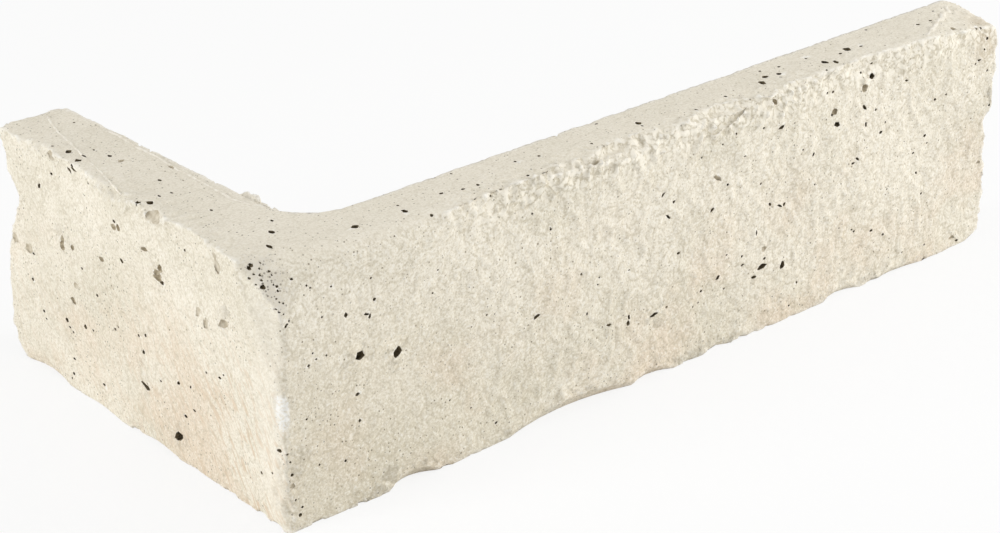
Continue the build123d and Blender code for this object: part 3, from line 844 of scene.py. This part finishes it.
        (-4.0, 91.6, 0.6, 0.6, 0, 1), (8.1, -10.1, 2.2, 1.6, 0, 1.2), (21.6, -11.1, 1.2, 1.9, 0, 1.2),
        (33.9, -9.1, 1.1, 0.8, 0, 1), (39.3, -10.4, 1.0, 0.9, 0, 1), (43.5, -10.7, 0.8, 0.8, 0, 1),
        (58.6, -6.4, 0.8, 0.8, 0, 1), (56.3, -13.8, 0.8, 0.8, 0, 1), (58.7, -12.1, 0.6, 0.6, 0, 1),
        (25.4, -16.1, 0.8, 0.8, 0, 1), (22.4, -7.4, 0.6, 0.6, 0, 1), (43.1, -1.3, 0.7, 0.7, 0, 1),
        (65.1, -7.6, 0.8, 0.9, 0, 1), (79.4, -10.5, 0.7, 0.8, 0, 1), (96.4, -8.6, 1.4, 1.8, 0, 1.1),
        (95.9, -10.6, 0.7, 0.7, 0, 1), (112.6, -12.4, 0.9, 1.0, 0, 1), (124.6, -10.6, 0.9, 1.0, 0, 1),
        (138.0, -10.3, 1.6, 2.2, 0, 1.2), (141.4, -7.9, 2.0, 1.4, 0, 1.3), (145.4, -8.9, 1.4, 1.2, 0, 1),
        (144.1, -10.9, 1.0, 0.7, 0, 1), (149.3, -5.2, 1.0, 0.7, 0, 1), (143.4, -4.1, 0.7, 0.7, 0, 1),
        (88.7, -1.8, 0.9, 0.6, 0, 1), (167.7, -9.6, 1.0, 0.7, 0, 1), (160.1, -11.3, 2.0, 2.2, 0, 0.8),
        (162.4, -13.0, 1.4, 1.8, 0, 0.9), (171.2, -8.7, 2.0, 2.2, 0, 0.8), (175.5, -9.7, 1.1, 0.7, 0, 1),
        (199.0, -8.7, 1.1, 0.9, 0, 1), (203.7, -9.1, 1.0, 0.9, 0, 1), (163.0, -15.3, 0.6, 0.6, 0, 1),
        (156.4, -15.4, 0.6, 0.6, 0, 1), (170.6, -16.7, 0.7, 0.7, 0, 1), (185.8, -2.0, 0.7, 0.7, 0, 1),
        (158.7, -5.8, 0.8, 0.8, 0, 1), (210.0, -4.5, 0.7, 0.7, 0, 1),
    ],
}
# flakes broken out of the top edges, of the same clean cement
dents = {
    "long": [
        (75.2, 64.0, 4.5, 3.6, 20, 0.13), (119.9, 62.0, 12.0, 2.0, 15, 0.14),
    ],
}
# open bubbles, light enough inside to see their floor
openPores = {
    "short": [
        (29.2, 51.4, 2.2, 1.6, 0, 0.4), (30.4, 49.8, 3.4, 1.8, 0, 0.35), (30.4, 48.5, 4.6, 1.4, 0, 0.4),
        (58.2, 44.0, 1.9, 1.1, 0, 0.5), (75.4, 26.8, 2.2, 1.5, 20, 0.4), (76.4, 43.2, 1.9, 2.0, 0, 0.5),
        (76.9, 41.6, 2.0, 2.2, 0, 0.5), (71.2, 42.9, 1.9, 1.3, 0, 0.45),
        (35.3, 54.5, 2.5, 1.1, -10, 0.5), (48.2, 56.2, 2.4, 1.4, -10, 0.4),
        (45.8, 56.9, 1.6, 1.8, 10, 0.35),
    ],
    "long": [
        (170.4, 57.4, 2.2, 1.9, 20, 0.6), (135.3, 63.4, 2.0, 1.1, -45, 0.6),
        (158.4, 54.1, 2.6, 1.3, 15, 0.6), (98.0, 17.9, 0.8, 0.6, 0, 0.8),
    ],
    "top": [
        (-9.1, 61.2, 1.6, 1.2, 0, 0.5),
    ],
}
# wide shallow scars, with only a film of dust and painted shade inside
scars = {
    "long": [
        (115.7, 48.0, 3.0, 1.1, -35, 0.5), (132.6, 23.2, 1.9, 1.4, 0, 0.4),
        (207.4, 2.9, 2.0, 1.2, 0, 0.4), (217.7, 22.5, 1.4, 1.0, 0, 0.4), (-18.6, 11.9, 1.6, 1.4, 0, 0.4),
    ],
    "short": [
        (2.7, 62.0, 3.0, 5.0, 0, 0.15), (13.2, 46.3, 1.6, 2.6, 30, 0.2), (10.0, 44.4, 1.8, 3.2, 30, 0.2),
        (2.4, 47.1, 4.4, 1.9, -25, 0.45), (72.3, 32.1, 2.6, 1.4, -30, 0.3),
        (79.0, 64.8, 3.8, 2.0, 20, 0.3), (96.9, 33.8, 4.0, 2.4, -10, 0.2),
        (104.3, 34.5, 3.4, 2.4, 0, 0.2),
    ],
    "top": [
        (206.1, -14.9, 1.8, 1.4, 0, 0.5), (-2.6, 49.1, 0.8, 2.0, 0, 0.5),
    ],
    # the clean oval scoop out of the short arm's top edge
    "shortEdge": [
        (29.5, 29.2, 7.2, 3.6, 0, 0.22),
    ],
}


def cutPores(starts, cutters, finish):
    # cutters that would touch go into separate cuts
    rounds = []
    for centre, reach, matrix in cutters:
        for group in rounds:
            if all((centre - other).length > reach + span for other, span, made in group):
                group.append((centre, reach, matrix))
                break
        else:
            rounds.append([(centre, reach, matrix)])
    for group in rounds:
        places = [made for centre, reach, made in group]
        joinCutter(block, setOut(starts, places, finish), "DIFFERENCE")


# the uneven balls cut a little smaller than their size, so each face's are spread
poreSpread = {"long": 1.1, "rubbed": 0.9, "short": 1.12, "top": 1.08, "shortEdge": 1.0}
poreReach = 0.6  # of its longer side, to tell which cutters would touch
skin = BVHTree.FromObject(block, bpy.context.evaluated_depsgraph_get())
bubbles = [pebble(subdivisions=2, jitter=0.1, seed=seed) for seed in (2, 5, 9, 14, 20)]
# the pores' skins are dust with painted shade, darker for the deeper kinds
poreKinds = [
    (dents, "castWhiteCement"), (scars, "scarDustAndShade"), (openPores, "openPoreDustAndShade"),
    (pores, "deepPoreDustAndShade"),
]
poreCount = 0
for kind, finish in poreKinds:
    found = []
    for name, spots in kind.items():
        view = views[name]
        for along, up, width, height, turn, depth in spots:
            hit = surfaceAt(skin, along, up, view)
            if hit is None:
                continue
            width, height = width * poreSpread[name], height * poreSpread[name]
            sizes = (width, height, 2 * depth * (width * height) ** 0.5)
            matrix = placed(hit / mm, view["along"], view["up"], sizes, turn)
            found.append((hit, poreReach * max(width, height) * mm, matrix))
    cutPores(bubbles, found, finish)
    poreCount += len(found)
for bubble in bubbles:
    bpy.data.objects.remove(bubble)
block.data.calc_loop_triangles()
print("pores cut:", poreCount, "and now", len(block.data.loop_triangles), "triangles")

makeActive(block)
bpy.ops.object.shade_smooth_by_angle(angle=radians(casting["smoothAngle"]))
block.vertex_groups.clear()

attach(block, "root")
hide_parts("veneer_corner")


# floor, light and camera

studio = {
    "floorSize": 6.0, "floorPlace": (0.1, 0.1, 0), "floorColour": "F6F6F5", "floorWhite": 0.8,
    "skyStrength": 0.55,
    # place, power, width: soft boxes that rake the long face and the short face, and one overhead
    "softBoxes": [
        ((0.95, -0.72, 0.5), 7.5, 0.5), ((-1.06, 0.3, 0.4), 6.0, 0.5), ((0.1, 0.0, 1.5), 2.4, 1.0),
    ],
    "aim": (0.06, 0.0, 0.03),
}


def backdropSeen(tree):
    # 1 for the rays that see the backdrop, straight on or mirrored
    rays = addNode(tree, "LightPath").outputs
    seen = addNode(tree, "Math", {0: rays["Is Camera Ray"], 1: rays["Is Glossy Ray"]},
                   operation="MAXIMUM")
    seen = addNode(tree, "Math", {0: seen.outputs[0], 1: rays["Is Transmission Ray"]},
                   operation="MAXIMUM")
    return seen.outputs[0]


deselectAll()
bpy.ops.mesh.primitive_plane_add(size=studio["floorSize"], location=studio["floorPlace"])
floor = bpy.context.active_object
floor.name = "studioFloor"
paper, tree = newMaterial("whitePaper")  # matt white, and pure white to the eye away from the shadow
whiteShare = addNode(tree, "Math", {0: backdropSeen(tree)}, {1: studio["floorWhite"]},
                     operation="MULTIPLY")
matt = addNode(tree, "BsdfDiffuse", None, {"Color": linear(studio["floorColour"])})
glow = addNode(tree, "Emission", None, {"Color": (1, 1, 1, 1), "Strength": 1.0})
shader = addNode(tree, "MixShader", {0: whiteShare.outputs[0], 1: matt.outputs[0], 2: glow.outputs[0]})
addNode(tree, "OutputMaterial", {"Surface": shader.outputs[0]})
floor.data.materials.append(paper)

world = bpy.data.worlds.new("softStudio")
bpy.context.scene.world = world
world.use_nodes = True
tree = world.node_tree
tree.nodes.clear()
skyLight = addNode(tree, "MapRange", {0: backdropSeen(tree)}, {3: studio["skyStrength"], 4: 1.0})
sky = addNode(tree, "Background", {"Strength": skyLight.outputs[0]}, {"Color": (1, 1, 1, 1)})
addNode(tree, "OutputWorld", {"Surface": sky.outputs[0]})

for place, power, width in studio["softBoxes"]:
    deselectAll()
    bpy.ops.object.light_add(type="AREA", location=place)
    lamp = bpy.context.active_object
    lamp.data.shape = "DISK"
    lamp.data.size = width
    lamp.data.energy = power
    lamp.rotation_euler = (Vector(place) - Vector(studio["aim"])).to_track_quat("Z", "Y").to_euler()

# the view was fitted to the edges of the photograph
shot = {
    "lens": 89.54, "sensor": 36.0, "place": (-290.1, -429.4, 292.5),
    "yaw": 39.03, "pitch": 24.845, "roll": -2.107,
}
deselectAll()
bpy.ops.object.camera_add(location=Vector(shot["place"]) * mm)
camera = bpy.context.active_object
camera.data.sensor_fit = "HORIZONTAL"
camera.data.sensor_width = shot["sensor"]
camera.data.lens = shot["lens"]
camera.data.clip_start = 0.01
heading = Quaternion(zAxis, radians(-shot["yaw"]))
tilt = Quaternion(xAxis, radians(90 - shot["pitch"]))
roll = Quaternion(zAxis, radians(shot["roll"]))
camera.rotation_euler = (heading @ tilt @ roll).to_euler()
bpy.context.scene.camera = camera
bpy.context.scene.view_settings.view_transform = "Standard"
print("studio set")
